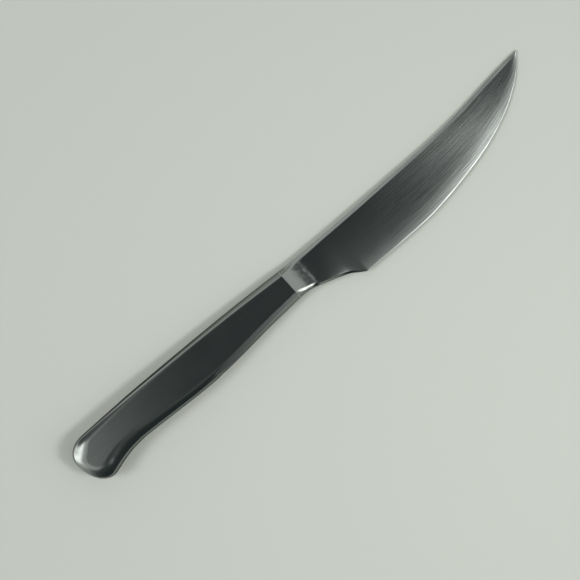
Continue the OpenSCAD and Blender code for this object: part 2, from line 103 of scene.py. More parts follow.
class HandleSizes(bpy.types.PropertyGroup):
    """Sizes of the two half shells. The widths of sides, rolls and facets are seen from above."""

    handle_len: length("Length", 96.7, "From the mouth to the far end of the butt")
    grip_w: length("Grip width", 16.2, "Width across the swell in the middle of the grip")
    waist_w: length("Waist width", 15.2, "Width across the narrow place in front of the flare")
    flare_w: length("Flare width", 18.6, "Width to the flare's unrounded corner")
    mouth_w: length("Mouth width", 12, "Width across the mouth")
    back_rise: length("Back rise", 0.6, "Rise of the back from the middle of the grip to the butt")
    back_fall: length("Back fall", 2.52, "Fall of the back from the middle of the grip to the mouth")
    butt_r: length("Butt radius", 17.4, "Radius of the rounded end, seen from above")
    butt_h: length("Butt height", 11, "Thickness over both flats at the butt")
    mouth_h: length("Mouth height", 6.8, "Thickness over both flats at the mouth")
    wall: length("Wall", 0.9, "Thickness of the stamped sheet")
    seam_t: length("Seam", 0.12, "Thickness of the solder between the rims")
    seam_break: length("Rim break", 0.06, "Softened corner of the rims along the seam")
    back_side_butt_w: length("Back side at the butt", 0.5, "Width of the sloping side along the back")
    back_side_mouth_w: length("Back side at the mouth", 1.3, "Width of the sloping side along the back")
    edge_side_w: length("Finger side", 0.5, "Width of the sloping side along the finger edge")
    edge_side_mouth_w: length("Finger side at the mouth", 1.5, "Width of that side at the mouth")
    butt_side_w: length("Butt side", 0.3, "Width of the side round the butt")
    crisp_w: length("Crisp rounding", 0.5, "Width of the rounding between the back's side and the flat")
    flare_side_w: length("Flare side", 0.35, "Width of the side over the flare")
    edge_roll: pair("Edge roll", 1.9, 1.1, "Width and depth of the roll between the finger side and the flat")
    butt_roll: pair("Butt roll", 2.2, 0.9, "Width and depth of the soft roll round the butt")
    corner_roll: pair("Corner roll", 2.8, 1.2, "Width and depth of the roll in the middle of the back corner")
    flare_roll: pair("Flare roll", 3.4, 1.7, "Width and depth of the soft roll over the flare")
    facet: pair("Facet", 2.1, 1.4, "Width and depth of the facet along the finger edge, near the mouth")
    mouth_facet: pair("Facet at the mouth", 1.05, 0.8, "Width and depth of the facet where it meets the neck")
    arris_w: length("Arris rounding", 0.07, "How far an arris's rounding reaches to each side")
    polish: length("Polish", 0.015, "Metal that the last polish takes off the outline")


class BladeSizes(bpy.types.PropertyGroup):
    """Sizes of the blade, its neck and its tang. The widths of sides and bevels are seen from above."""

    blade_len: length("Length", 113.9, "From the mouth of the handle to the point")
    heel_len: length("Heel distance", 23.5, "From the mouth to the heel of the cutting edge")
    heel_drop: length("Heel drop", 15, "Depth of the heel below the middle line of the grip")
    belly_drop: length("Belly drop", 0.6, "Depth of the belly below the heel")
    back_low_y: length("Low back", 4.45, "Height of the back at its lowest, above the grip's middle line")
    point_rise: length("Point rise", 3.6, "Rise of the point above the lowest part of the back")
    blade_t: length("Thickness", 2.1, "Thickness behind the bolster")
    point_t: length("Point thickness", 0.9, "Thickness behind the point")
    point_w: length("Point width", 0.35, "Width of the blunted point")
    swage_w: length("Back bevel", 1.15, "Width of the bevel along the back")
    swage_swell: length("Swell of the back bevel", 0.45, "How much wider the bevel is over the neck")
    spine_t: length("Spine", 0.8, "Thickness left along the very back")
    spine_side_w: length("Spine side", 0.05, "Width of the side left along the very back")
    bevel_w: length("Sharpened bevel", 0.3, "Width of the bevel along the cutting edge")
    bevel_t: length("Behind the bevel", 0.133, "Thickness behind that bevel")
    scoop_len: length("Scoop", 8.6, "Length of the concave scoop behind the mouth")
    scoop_ease: length("Scoop's end", 2, "How softly the scoop runs out into the blade")
    neck_side_w: length("Neck side", 0.2, "Width of the side under the neck")
    neck_round: pair("Neck rounding", 0.7, 0.85, "Width and depth of the softened edge under the neck")
    neck_crown: pair("Neck crown", 1.25, 0.45, "Width and depth of the softened edge in the scoop")
    neck_t: length("Neck solder", 0.12, "Thickness of the solder ring at the mouth")
    spigot_len: length("Spigot", 3, "Length of the spigot that enters the mouth")
    spigot_fit: length("Spigot clearance", 0.08, "Clearance of the spigot in the mouth")
    tang_len: length("Tang length", 42, "Length of the tang beyond the spigot")
    tang_w: length("Tang width", 6.4, "Width of the tang")
    tang_t: length("Tang thickness", 2.2, "Thickness of the tang")
    notch_r: length("Notch radius", 1, "Radius of the notches that key the tang into the cement")


class SteelLook(bpy.types.PropertyGroup):
    """Colours and finishes."""

    steel: tint("Steel", 176, 178, 175, "Colour of the bare steel")
    solder: tint("Solder", 205, 205, 200, "Colour of the solder")
    cement: tint("Cement", 172, 169, 162, "Colour of the filling")
    handle_rough: share("Handle roughness", 0.13, "Roughness of the satin handle")
    blade_rough: share("Blade roughness", 0.13, "Roughness of the brushed blade")


class StudioLook(bpy.types.PropertyGroup):
    """Camera, floor and light."""

    floor: tint("Floor", 198, 201, 193, "Colour of the floor")
    key_power: watts("Key power", 0.65, "Power of the small soft box in watts")
    fill_power: watts("Fill power", 4.0, "Power of the broad lamp in watts")
    camera_height: length("Camera height", 430, "Height of the camera over the knife's middle plane")
    view_width: length("View width", 203, "Width of the picture at the knife's middle plane")
    view_turn: degrees("Turn", 41.8, "How far the knife is turned in the picture, from level to up-right")
    view_x: length("View centre along the knife", 47.34, "Middle of the picture, from the handle's middle")
    view_drop: length("View centre across", 1.95, "Middle of the picture, below the knife's middle line")


# Shares that shape the outline, each list as [place, value]
BACK_RISE_SHARES = [[-0.62, 0.8], [-0.44, 0.99], [-0.32, 1], [-0.19, 0.9], [-0.08, 0.42], [0, 0]]
BACK_FALL_SHARES = [[0, 0], [0.17, 0.25], [0.33, 0.56], [0.5, 1]]
FLARE_SHARES = [[-0.447, 1], [-0.4, 0.68], [-0.37, 0.44], [-0.32, 0.14], [-0.26, 0]]
SWELL_SHARES = [[-0.26, 0], [-0.13, 0.55], [0.01, 1], [0.09, 0.96]]
TAPER_SHARES = [[0.09, 0.96], [0.19, 0.79], [0.35, 0.36], [0.5, 0]]
FLARE_PLACE_SHARE = -0.447
FLARE_LEAN_SHARE = 0.45
BEND_PLACE_SHARE = -0.2
BACK_CORNER_SHARES = (0.42, 0.3)
FLARE_CORNER_SHARES = (0.16, 0.32)
END_CENTRE_SHARE = 0.35
ROUND_SHARE = 0.6
SPINE_FALL_SHARES = [[0, 1], [0.06, 0.68], [0.13, 0.44], [0.22, 0.23], [0.35, 0.08], [0.52, 0]]
SPINE_RISE_SHARES = [[0.52, 0], [0.6, 0.01], [0.68, 0.1], [0.76, 0.27], [0.84, 0.56], [0.92, 0.82], [1, 1]]
NECK_SHARES = [
    [0, 0], [0.13, 0.01], [0.28, 0.1], [0.43, 0.24], [0.58, 0.38], [0.72, 0.53], [0.81, 0.645],
    [0.9, 0.82], [1, 1],
]
BELLY_SHARES = [[0, 0], [0.08, 0.45], [0.17, 0.85], [0.26, 1]]
SWEEP_SHARES = [
    [0.26, 0], [0.33, 0.006], [0.415, 0.037], [0.54, 0.113], [0.665, 0.22], [0.78, 0.373], [0.86, 0.53],
    [0.935, 0.735], [1, 1],
]

# Shares that shape the sections, the lists in the same way
BACK_SOFT_SHARES = [[-0.5, 0.9], [-0.3, 0.4], [-0.1, 0.1], [0.1, 0], [0.5, 0]]
FLARE_SIDE_SHARES = [[-0.5, 1], [-0.42, 1], [-0.36, 0.6], [-0.28, 0.1], [-0.2, 0], [0.5, 0]]
FLARE_ROLL_SHARES = [[-0.5, 1], [-0.38, 0.95], [-0.3, 0.7], [-0.2, 0.38], [-0.08, 0.1], [0.05, 0], [0.5, 0]]
FACET_SHARES = [[-0.5, 0], [0, 0], [0.06, 0.3], [0.14, 0.95], [0.32, 1], [0.5, 1]]
MOUTH_SHARES = [[-0.5, 0], [0.05, 0], [0.25, 0.2], [0.5, 1]]
NECK_SIDE_SHARES = [[0, 0], [0.16, 0.18], [0.28, 0.46], [0.41, 0.7], [0.55, 0.9], [0.7, 1], [2, 1]]
NECK_CROWN_SHARES = [[0, 0], [0.16, 0.9], [0.28, 1], [0.65, 1], [0.8, 0.75], [1.05, 0.1], [1.2, 0], [2, 0]]
NECK_BEVEL_SHARES = [[0, 0], [0.5, 0.3], [1, 0.6], [1.6, 0.9], [2.2, 1]]
SWAGE_SWELL_SHARES = [[0, 0], [0.35, 1], [0.8, 1], [1.3, 0.7], [2.2, 0]]

# Height of a side's knee, and the reach of its outer rounding against the inner one and against the side
KNEE_SHARE = 0.47
TIGHT_SHARE = 0.45
SIDE_REACH_SHARE = 0.8

# How much sooner the back's side turns than its roll, how deep that roll may be, and how round the neck is
BACK_SIDE_LEAD = 2.2
BACK_ROLL_SHARE = 0.75
NECK_ROUNDNESS = 0.4
NECK_CROWN_ROUNDNESS = 0.85

# Where between mouth and heel the grind starts and is full, and the powers of the face's curve
GRIND_SHARES = (0.42, 1.02)
GRIND_POWER = 2.6
POINT_POWER = 1.3

# What is left of the thickness and of the sharpened bevel at the point, and how many times wider than the
# back bevel, and than both bevels, the blade is where it starts to thin and to draw in
POINT_THIN_SHARE = 0.5
POINT_BEVEL_SHARE = 0.25
SLIM_WIDTH_RATIO = 11
FULL_WIDTH_RATIO = 2.2

# Share of the grain that follows the sweep, the tang's notches and end, the step of slopes and of merging
SWEPT_GRAIN_SHARE = 0.5
NOTCHES = 3
NOTCH_DEPTH_SHARE = 0.25
TANG_END_HALF_W = 0.02 * MM
NUDGE = 0.1 * MM
MERGE_DISTANCE = 0.0005 * MM

# Steps of the surfaces, and shares at which their columns and stations lie
PLAIN, BEND, CORNER, END = range(4)
ZONE_STEPS = (80, 40, 30, 14)
FLAT_STEPS = 24
BEVEL_STEPS = 8
TANG_STEPS, SCOOP_STEPS, RICASSO_STEPS, EDGE_STEPS = 60, 36, 30, 130
SIDE_T = np.array([0, 0.014, 0.05, 0.12, 0.2, 0.3, 0.4, 0.5, 0.6, 0.7, 0.8, 0.9])
FILLET_T = np.linspace(0, 1, 8, endpoint=False)
CHORD_T = np.array([0, 0.03, 0.5, 0.97])
LAST_FILLET_T = np.linspace(0, 1, 9)
SIDE_COLUMNS = len(SIDE_T) + len(FILLET_T) + len(CHORD_T) + len(LAST_FILLET_T)
FACE_T = np.concatenate([[0.003], np.linspace(0, 1, FLAT_STEPS)[1:-1], [0.997]])
SCOOP_T = np.concatenate([[0, 0.02, 0.06, 0.12], np.linspace(0.15, 1, SCOOP_STEPS)])
LAST_BEVEL_T = 0.98
FACE_SPREAD = 0.3
FACE_CROWD_POWER = 1.6
POINT_CROWD = 0.45
TANG_CROWD_POWER = 0.8

# Finishes, with lengths in millimetres. coarse and fine are grains as (length, width, detail, depth), ripple
# is (size, depth), smudge (size, change of roughness), forged (size, depth, place where it starts to fade,
# place where it ends) and calm the two places between which the coarse grain comes in. tone is how far that
# grain changes the colour, edge_tint the colour at a glancing view, painted_side_shade the share of the
# colour
# that steep sides keep: painted shade, for the shaded floor that those sides mirror.
SATIN = {
    "coarse": (16, 1.2, 2.0, 0.0006), "fine": (5, 0.16, 3.0, 0.0006), "ripple": (14, 0.004),
    "smudge": (9, 0.01), "tone": 0.03, "edge_tint": 0.15, "painted_side_shade": 0.66,
}
BRUSHED = {
    "coarse": (16, 0.45, 2.0, 0.009), "fine": (7, 0.14, 3.0, 0.0012), "ripple": (11, 0.005),
    "forged": (3.5, 0.14, 53, 60), "calm": (62, 130), "uv_map": "Grain",
    "smudge": (8, 0.01), "tone": 0.22, "edge_tint": 0.35, "painted_side_shade": 0.62,
}
WHITE = (1, 1, 1)
GRAINY_TONES = (0.8, 1.15)

# Middle and usual range of a noise, and how level a surface is where the painted shade on steep sides starts
# and is full
NOISE_MIDDLE = 0.5
NOISE_RANGE = (0.3, 0.7)
STEEP_SHADE_RANGE = (0.8, 0.66)

# Sockets of a Mix node that mixes colours
MIX_A, MIX_B, MIX_RESULT = 6, 7, 2

# The studio's walls, and soft discs over them as (name, light, turn in the picture, tilt from overhead,
# radius of the full disc, radius where it has faded out), with angles in degrees
SKY_WALL = 0.56
SKY_TINT = (0.97, 1.0, 0.98)
SKY_CAST = (-0.007, 0.0, 0.002)
SKY_DISCS = (
    ("ceiling", 0.13, -5, 6.6, 10, 40),
    ("left window", 2.15, 195, 38, 8, 31),
    ("under the window", 0.35, 200, 65, 15, 23),
    ("dark back", 0.085, 142, 38, 8, 20),
    ("low dark back", 0.15, 152, 54, 8, 18),
    ("beside the window", 0.11, 157, 43, 11, 17),
    ("over the window", 0.2, 156, 24, 5, 13),
    ("dim side", 0.06, -70, 42, 12, 66),
    ("neck light", 1.8, -1, 58, 8, 20),
    ("neck glow", 2.2, -8, 45, 5, 14),
    ("edge glow", 2.3, -18, 29.5, 4, 11),
    ("lit patch", 1.6, 3, 16.6, 2.7, 7.5),
    ("beyond the point", 0.08, 27, 22, 4.3, 6.5),
    ("lamp", 6, 22.5, 10.5, 2.7, 5.4),
    ("far patch", 0.5, 226, 18, 6, 19.5),
    ("dark centre", 0.032, -18.6, 6.5, 7.7, 18),
    ("dark low side", 0.035, 306, 50, 10, 26),
)

# Haze, added to them in the same way
SKY_HAZES = (
    ("edge haze", 0.66, -12.5, 31, 11.5, 19.7),
    ("low haze", 0.05, -22, 14, 6, 14),
    ("wide haze", 0.015, -14, 15, 15, 50),
)

# Lamps as (name, turn, tilt, distance, width), with lengths in metres
LAMPS = (
    ("key", -15, 30, 0.45, 0.085),
    ("fill", 185, 36, 1.2, 0.4),
)
FLOOR_REACH = 3.0
FLOOR_GAP = 0.01 * MM


def mix(a, b, t):
    """From a to b by the share t."""
    return a + (b - a) * t


def drawn(base, first, first_share, second, second_share):
    """A base drawn towards two other values, each by its own share."""
    return base + (first - base) * first_share + (second - base) * second_share


def ease(t):
    """Smooth step from 0 to 1."""
    t = np.clip(t, 0, 1)
    return t * t * (3 - 2 * t)


def curve(points, x):
    """Smooth curve through [place, value] points: cubics whose slopes at each point follow its neighbours."""
    p = np.array(points, float)
    last = len(p) - 1
    before = np.maximum(np.arange(last + 1) - 1, 0)
    after = np.minimum(np.arange(last + 1) + 1, last)
    slope = (p[after, 1] - p[before, 1]) / (p[after, 0] - p[before, 0])
    i = np.clip(np.searchsorted(p[:, 0], x, side="right") - 1, 0, last - 1)
    step = p[i + 1, 0] - p[i, 0]
    t = (x - p[i, 0]) / step
    u = 1 - t
    value = p[i, 1] * u * u * (1 + 2 * t) + p[i + 1, 1] * t * t * (3 - 2 * t)
    return value + step * u * t * (slope[i] * u - slope[i + 1] * t)


def unit(v):
    """Directions of unit length, along the last axis."""
    return v / np.linalg.norm(v, axis=-1, keepdims=True)


def bend(a, b, c, t):
    """Quadratic curve from a to c that starts and ends in the direction of b; t runs along a new axis."""
    t = np.asarray(t)[:, None]
    a, b, c = (p[..., None, :] for p in (a, b, c))
    return (1 - t) ** 2 * a + 2 * t * (1 - t) * b + t * t * c


def side_profile(shape, top, arris):
    """Side of a section as [inset, height], from (0, 0) in the middle plane to the flat at height top.

    The side starts upright and leans in on a quadratic curve, turns through a rounding onto the roll or
    facet, and through another onto the flat. shape is [side width, roll width, roll depth, roundness]: at
    roundness 0 the roll is a straight facet whose roundings reach only the length arris, at 1 they meet in
    its middle. Result: (stations, columns, 2).
    """
    width, roll_w, roll_d, roundness = (np.asarray(v, float) for v in shape)
    zero = np.zeros_like(top)
    low = top - roll_d
    start = np.stack([zero, zero], -1)
    knee = np.stack([zero, KNEE_SHARE * low], -1)
    shoulder = np.stack([width + zero, low], -1)
    rim = np.stack([width + roll_w + zero, top], -1)
    chord = np.linalg.norm(rim - shoulder, axis=-1)
    reach = mix(np.minimum(arris, chord / 2), chord / 2, roundness)[..., None]
    tight = mix(1, TIGHT_SHARE, roundness)[..., None] * reach
    longest = SIDE_REACH_SHARE * np.linalg.norm(shoulder - knee, axis=-1)[..., None]
    over = unit(rim - shoulder)
    into = shoulder - np.minimum(tight, longest) * unit(shoulder - knee)
    out = shoulder + tight * over
    end = rim - reach * over
    on_flat = rim + reach * np.array([1.0, 0.0])
    return np.concatenate([
        bend(start, knee, into, SIDE_T),
        bend(into, shoulder, out, FILLET_T),
        mix(out[..., None, :], end[..., None, :], CHORD_T[:, None]),
        bend(end, rim, on_flat, LAST_FILLET_T),
    ], axis=-2)


class HandleForm:
    """Outline and sections of the handle."""

    def __init__(self, s):
        self.s = s
        self.mouth_x = s.handle_len / 2
        self.butt_x = -s.handle_len / 2
        self.middle_y = s.grip_w / 2
        self.back_top = self.middle_y + s.back_rise
        self.taper = math.atan((s.butt_h - s.mouth_h) / 2 / s.handle_len)
        self.flare_x = FLARE_PLACE_SHARE * s.handle_len
        self.bend_x = BEND_PLACE_SHARE * s.handle_len
        self.end_centre = (self.butt_x + s.butt_r, self.back_top - END_CENTRE_SHARE * s.flare_w)

    def back_y(self, x):
        """Outline along the back."""
        place = x / self.s.handle_len
        rise = self.middle_y + self.s.back_rise * curve(BACK_RISE_SHARES, place)
        fall = self.middle_y - self.s.back_fall * curve(BACK_FALL_SHARES, place)
        return np.where(place < 0, rise, fall)

    def edge_y(self, x):
        """Outline along the finger edge: the back less the width."""
        s, place = self.s, x / self.s.handle_len
        flare = mix(s.waist_w, s.flare_w, curve(FLARE_SHARES, place))
        swell = mix(s.waist_w, s.grip_w, curve(SWELL_SHARES, place))
        taper = mix(s.mouth_w, s.grip_w, curve(TAPER_SHARES, place))
        swell = np.where(place < SWELL_SHARES[-1][0], swell, taper)
        return self.back_y(x) - np.where(place < FLARE_SHARES[-1][0], flare, swell)

    def half_t(self, x):
        """Half thickness: both flats are planes that draw together towards the mouth."""
        return mix(self.s.butt_h, self.s.mouth_h, (x - self.butt_x) / self.s.handle_len) / 2

    def side_point(self, x, d, way):
        """Outline at x moved in by d, square to the line; way is 1 for the back, -1 for the finger edge."""
        line = self.back_y if way > 0 else self.edge_y
        run = (line(x + NUDGE) - line(x - NUDGE)) / (2 * NUDGE)
        return np.stack([x + 0 * d, line(x) - way * d * np.sqrt(1 + run * run)], -1)

    def end_point(self, y, d):
        """Arc of the butt's end at y, moved in by d, and its direction there."""
        h = y - self.end_centre[1]
        fall = np.sqrt((self.s.butt_r - d) ** 2 - h * h)
        return np.stack([self.end_centre[0] - fall, y + 0 * d], -1), unit(np.stack([h / fall, 1 + 0 * h], -1))

    def start_x(self, d, way):
        """Where a side's rounded corner starts."""
        s = self.s
        if way > 0:
            return self.butt_x + BACK_CORNER_SHARES[0] * s.flare_w + d
        return self.flare_x + FLARE_CORNER_SHARES[0] * s.flare_w + FLARE_LEAN_SHARE * d

    def end_y(self, d, way):
        """Where that corner ends on the arc."""
        s = self.s
        if way > 0:
            return self.back_top - BACK_CORNER_SHARES[1] * s.flare_w - d
        return self.edge_y(np.array(self.flare_x)) + FLARE_CORNER_SHARES[1] * s.flare_w + d

    def outline(self, zone, t, d, way):
        """One side moved in by d (stations, columns), from the mouth round to the middle of the butt's end.

        The stations of zone PLAIN keep their places and those of BEND follow d. CORNER is a cubic between the
        tangents of the side and the end, and END is the arc.
        """
        zone, t = zone[:, None], t[:, None]
        start = self.start_x(d, way)
        x = np.where(zone == PLAIN, mix(self.mouth_x, self.bend_x, t), mix(self.bend_x, start, t))
        side = self.side_point(x, d, way)
        a = self.side_point(start, d, way)
        u = unit(a - self.side_point(start + NUDGE, d, way))
        b, v = self.end_point(self.end_y(d, way), d)
        cross = u[..., 0] * v[..., 1] - u[..., 1] * v[..., 0]
        gap = b - a
        meet = a + u * ((gap[..., 0] * v[..., 1] - gap[..., 1] * v[..., 0]) / cross)[..., None]
        p, q = mix(a, meet, ROUND_SHARE), mix(b, meet, ROUND_SHARE)
        k = t[..., None]
        corner = (1 - k) ** 3 * a + 3 * (1 - k) ** 2 * k * p + 3 * (1 - k) * k * k * q + k ** 3 * b
        middle = (self.end_y(d, 1) + self.end_y(d, -1)) / 2
        end, _ = self.end_point(mix(b[..., 1], middle, t), d)
        zone = zone[..., None]
        return np.where(zone < CORNER, side, np.where(zone == CORNER, corner, end))

    def shape(self, x, way):
        """[side width, roll width, roll depth, roundness] of a side at x."""
        s, place = self.s, x / self.s.handle_len
        if way > 0:
            side = mix(s.back_side_butt_w, s.back_side_mouth_w, (x - self.butt_x) / s.handle_len)
            soft = curve(BACK_SOFT_SHARES, place)
            return [side, *(mix(s.crisp_w, size, soft) for size in s.butt_roll), 1 + 0 * x]
        flare, roll = curve(FLARE_SIDE_SHARES, place), curve(FLARE_ROLL_SHARES, place)
        facet, mouth = curve(FACET_SHARES, place), curve(MOUTH_SHARES, place)
        side = drawn(s.edge_side_w, s.flare_side_w, flare, s.edge_side_mouth_w, mouth)
        flat = (mix(a, b, mouth) for a, b in zip(s.facet, s.mouth_facet))
        rolls = (drawn(a, b, roll, c, facet) for a, b, c in zip(s.edge_roll, s.flare_roll, flat))
        return [side, *rolls, 1 - np.clip(facet, 0, 1)]

    def side_skin(self, zone, t, skin, way):
        """Surface of one side, set in by skin: (stations, columns, 3), from the seam to the flat."""
        s = self.s
        x = self.outline(zone, t, np.zeros((len(zone), 1)), way)[:, 0, 0]
        butt = [s.butt_side_w, *s.butt_roll, 1]
        corner = np.where(zone == CORNER, t, np.where(zone == END, 1, 0))
        side = self.shape(np.maximum(x, self.start_x(0, way)), way)
        shape = [mix(a, b, ease(corner)) for a, b in zip(side, butt)]
        if way > 0:
            bulge = ease(2 * np.minimum(corner, 1 - corner))
            for i in range(2):
                shape[i + 1] = shape[i + 1] + (s.corner_roll[i] - s.butt_roll[i]) * bulge
        top = self.half_t(x)
        profile = side_profile(shape, top, s.arris_w)
        plan = self.outline(zone, t, profile[..., 0] + s.polish + skin, way)
        z = profile[..., 1] / top[:, None] * (self.half_t(plan[..., 0]) - skin)
        return np.concatenate([plan, z[..., None]], -1)

    def half_skin(self, skin):
        """Upper half of the handle, set in by skin: over the back, across the flat, down the finger edge."""
        zone = np.append(np.repeat([PLAIN, BEND, CORNER, END], ZONE_STEPS), END)
        t = np.concatenate([*(np.arange(steps) / steps for steps in ZONE_STEPS), [1]])
        back = self.side_skin(zone, t, skin, 1)
        edge = self.side_skin(zone, t, skin, -1)
        flat = mix(back[:, -1:], edge[:, -1:], FACE_T[:, None])
        return np.concatenate([back, flat, edge[:, ::-1]], 1)


def ground_height(inset, width, top, bevel_w, bevel_z, slim):
    """Height of the ground blade at an inset from the edge: the sharpened bevel, then the curved face."""
    across = np.clip((inset - bevel_w) / (width - bevel_w), 0, 1)
    face = bevel_z + (top - bevel_z) * (1 - (1 - across) ** mix(POINT_POWER, GRIND_POWER, slim))
    return np.where(inset < bevel_w, bevel_z * inset / bevel_w, face)


class BladeForm:
    """Outline and sections of the blade, its neck and its tang."""

    def __init__(self, s, handle):
        self.s = s
        self.handle = handle
        self.mouth_x = handle.mouth_x
        self.root_x = handle.mouth_x - s.spigot_len
        self.shoulder_x = handle.mouth_x + s.neck_t
        self.scoop_x = self.shoulder_x + s.scoop_len
        self.heel_x = handle.mouth_x + s.heel_len
        self.point_x = handle.mouth_x + s.blade_len
        self.mouth_back_y = float(handle.back_y(np.array(self.mouth_x)))
        self.mouth_edge_y = float(handle.edge_y(np.array(self.mouth_x)))
        self.mouth_middle_y = (self.mouth_back_y + self.mouth_edge_y) / 2
        self.mouth_z = handle.half_t(self.shoulder_x)
        self.point_y = s.back_low_y + s.point_rise
        drop = self.mouth_z - s.blade_t / 2
        self.scoop_r = (s.scoop_len ** 2 + drop ** 2) / (2 * drop)

    def spine_y(self, x):
        """Line of the back: it falls from the mouth and rises to the point."""
        place = np.clip((x - self.mouth_x) / self.s.blade_len, 0, 1)
        fall = mix(self.s.back_low_y, self.mouth_back_y, curve(SPINE_FALL_SHARES, place))
        rise = mix(self.s.back_low_y, self.point_y, curve(SPINE_RISE_SHARES, place))
        return np.where(place < SPINE_RISE_SHARES[0][0], fall, rise)

    def under_y(self, x):
        """Underside of the neck, then the cutting edge from the heel to the point."""
        s = self.s
        heel_y = -s.heel_drop
        belly_y = heel_y - s.belly_drop
        place = np.clip((x - self.mouth_x) / s.heel_len, 0, 1)
        neck = mix(self.mouth_edge_y, heel_y, curve(NECK_SHARES, place))
        place = np.clip((x - self.heel_x) / (self.point_x - self.heel_x), 0, 1)
        belly = mix(heel_y, belly_y, curve(BELLY_SHARES, place))
        sweep = mix(belly_y, self.point_y - s.point_w, curve(SWEEP_SHARES, place))
        return np.where(x < self.heel_x, neck, np.where(place < SWEEP_SHARES[0][0], belly, sweep))

    def half_t(self, x):
        """Half thickness: the scoop is an arc that runs into the blade, which then thins to the point."""
        s = self.s
        along = np.clip((x - self.scoop_x) / (self.point_x - self.scoop_x), 0, 1)
        blade = mix(s.blade_t, s.point_t, along) / 2 * mix(POINT_THIN_SHARE, 1, self.slim_in(x))
        return blade + (self.mouth_z - s.blade_t / 2) * self.dip(x) / self.dip(self.shoulder_x)

    def dip(self, x):
        """Height of the scoop over the blade: an arc whose end eases out."""
        run = self.scoop_x - x
        run = (run + np.sqrt(run ** 2 + self.s.scoop_ease ** 2)) / 2
        run = np.where(x > self.heel_x, 0, run * ease((self.heel_x - x) / self.s.scoop_len))
        return self.scoop_r - np.sqrt(self.scoop_r ** 2 - run ** 2)

    def done(self, points, x):
        """Share of a change along the neck."""
        return curve(points, np.clip((x - self.shoulder_x) / self.s.scoop_len, 0, points[-1][0]))

    def draw_in(self, x):
        """Near the point everything across the blade draws in with its width."""
        wide = FULL_WIDTH_RATIO * (self.s.swage_w + self.s.bevel_w)
        return np.minimum(1, (self.spine_y(x) - self.under_y(x)) / wide)

    def slim_in(self, x):
        """Towards the point the face flattens and thins with the blade's width."""
        return ease((self.spine_y(x) - self.under_y(x)) / (SLIM_WIDTH_RATIO * self.s.swage_w))

    def across(self, x, y):
        """Distance from the back, partly as a share of the blade's depth: so the grain follows the sweep."""
        depth = np.maximum(self.spine_y(x) - self.under_y(x), self.s.point_w)
        down = self.spine_y(x) - y
        full = self.spine_y(np.array(self.heel_x)) + self.s.heel_drop
        return mix(down, down / depth * full, SWEPT_GRAIN_SHARE)

    def from_mouth(self, way, end, turns):
        """A side's shape at the mouth, each value turned into that of the end shape by its own share."""
        start = self.handle.shape(np.array(self.mouth_x), way)
        return [mix(a, b, turn) for a, b, turn in zip(start, end, turns)]

    def back_profile(self, x, top, draw):
        """Side along the back as [inset, height]: the handle's side turns into the blade's bevel."""
        s = self.s
        turn = self.done(NECK_BEVEL_SHARES, x)
        swage = [s.spine_side_w, s.swage_w - s.spine_side_w, top * (1 - s.spine_t / s.blade_t), 0]
        turns = [np.minimum(1, BACK_SIDE_LEAD * turn), turn, turn, turn]
        width, roll_w, roll_d, roundness = self.from_mouth(1, swage, turns)
        swell = s.swage_swell * self.done(SWAGE_SWELL_SHARES, x)
        roll_d = np.minimum(roll_d * (1 + swell / roll_w), BACK_ROLL_SHARE * top)
        roll_w = roll_w + swell
        shape = [width * draw, roll_w * draw, roll_d, roundness]
        return side_profile(shape, top, self.handle.s.arris_w * draw)

    def neck_profile(self, x, top, draw):
        """Side under the neck as [inset, height]: the handle's facet turns into a softened edge."""
        s = self.s
        neck = [s.neck_side_w, *s.neck_round, NECK_ROUNDNESS]
        width, *roll = self.from_mouth(-1, neck, 4 * [self.done(NECK_SIDE_SHARES, x)])
        crown = self.done(NECK_CROWN_SHARES, x)
        crowned = [*s.neck_crown, NECK_CROWN_ROUNDNESS]
        roll_w, roll_d, roundness = (mix(a, b, crown) for a, b in zip(roll, crowned))
        shape = [width * draw, roll_w * draw, roll_d, roundness]
        return side_profile(shape, top, self.handle.s.arris_w)

    def body_sections(self, x):
        """Upper half of each section at x, from the cutting edge to the back: (stations, columns, 3).

        The columns under the neck slide out over the face as the grind takes over; each column's height is
        then the mix of the neck's height and the ground height at its own inset, which keeps the face smooth.
        """
        s, polish = self.s, self.handle.s.polish
        top = self.half_t(x)
        draw, slim = self.draw_in(x), self.slim_in(x)[:, None]
        under, spine = self.under_y(x)[:, None] + polish, self.spine_y(x)[:, None] - polish
        back = self.back_profile(x, top, draw)
        neck = self.neck_profile(x, top, draw)
        back_y = spine - back[..., 0]
        width = back_y[:, -1:] - under

        grind_from, grind_to = (mix(self.mouth_x, self.heel_x, v) for v in GRIND_SHARES)
        ground = ease((x - grind_from) / (grind_to - grind_from))[:, None]
        bevel_w = s.bevel_w * mix(POINT_BEVEL_SHARE, 1, slim) * draw[:, None]
        bevel_z = s.bevel_t / 2 * draw[:, None]
        steps = SIDE_COLUMNS - BEVEL_STEPS
        on_bevel = np.linspace(0, 1, BEVEL_STEPS) * LAST_BEVEL_T
        on_face = FACE_SPREAD * (np.arange(1, steps + 1) / steps) ** FACE_CROWD_POWER
        spread = np.concatenate([on_bevel, 1 + on_face])
        ground_inset = np.where(spread <= 1, spread * bevel_w, bevel_w + (spread - 1) * (width - bevel_w))
        inset = mix(neck[..., 0], ground_inset, ground)
        neck_z = np.array([np.interp(*station) for station in zip(inset, neck[..., 0], neck[..., 1])])
        neck_z = np.where(ground > 0, neck_z, neck[..., 1])
        blade = (width, top[:, None], bevel_w, bevel_z, slim)
        side_z = mix(neck_z, ground_height(inset, *blade), ground)
        face = mix(inset[:, -1:], width, FACE_T[None])
        face_z = mix(top[:, None] + 0 * face, ground_height(face, *blade), ground)
        y = np.concatenate([under + inset, under + face, back_y[:, ::-1]], 1)
        z = np.concatenate([side_z, face_z, back[:, ::-1, 1]], 1)
        return np.stack([x[:, None] + 0 * y, y, z], -1)

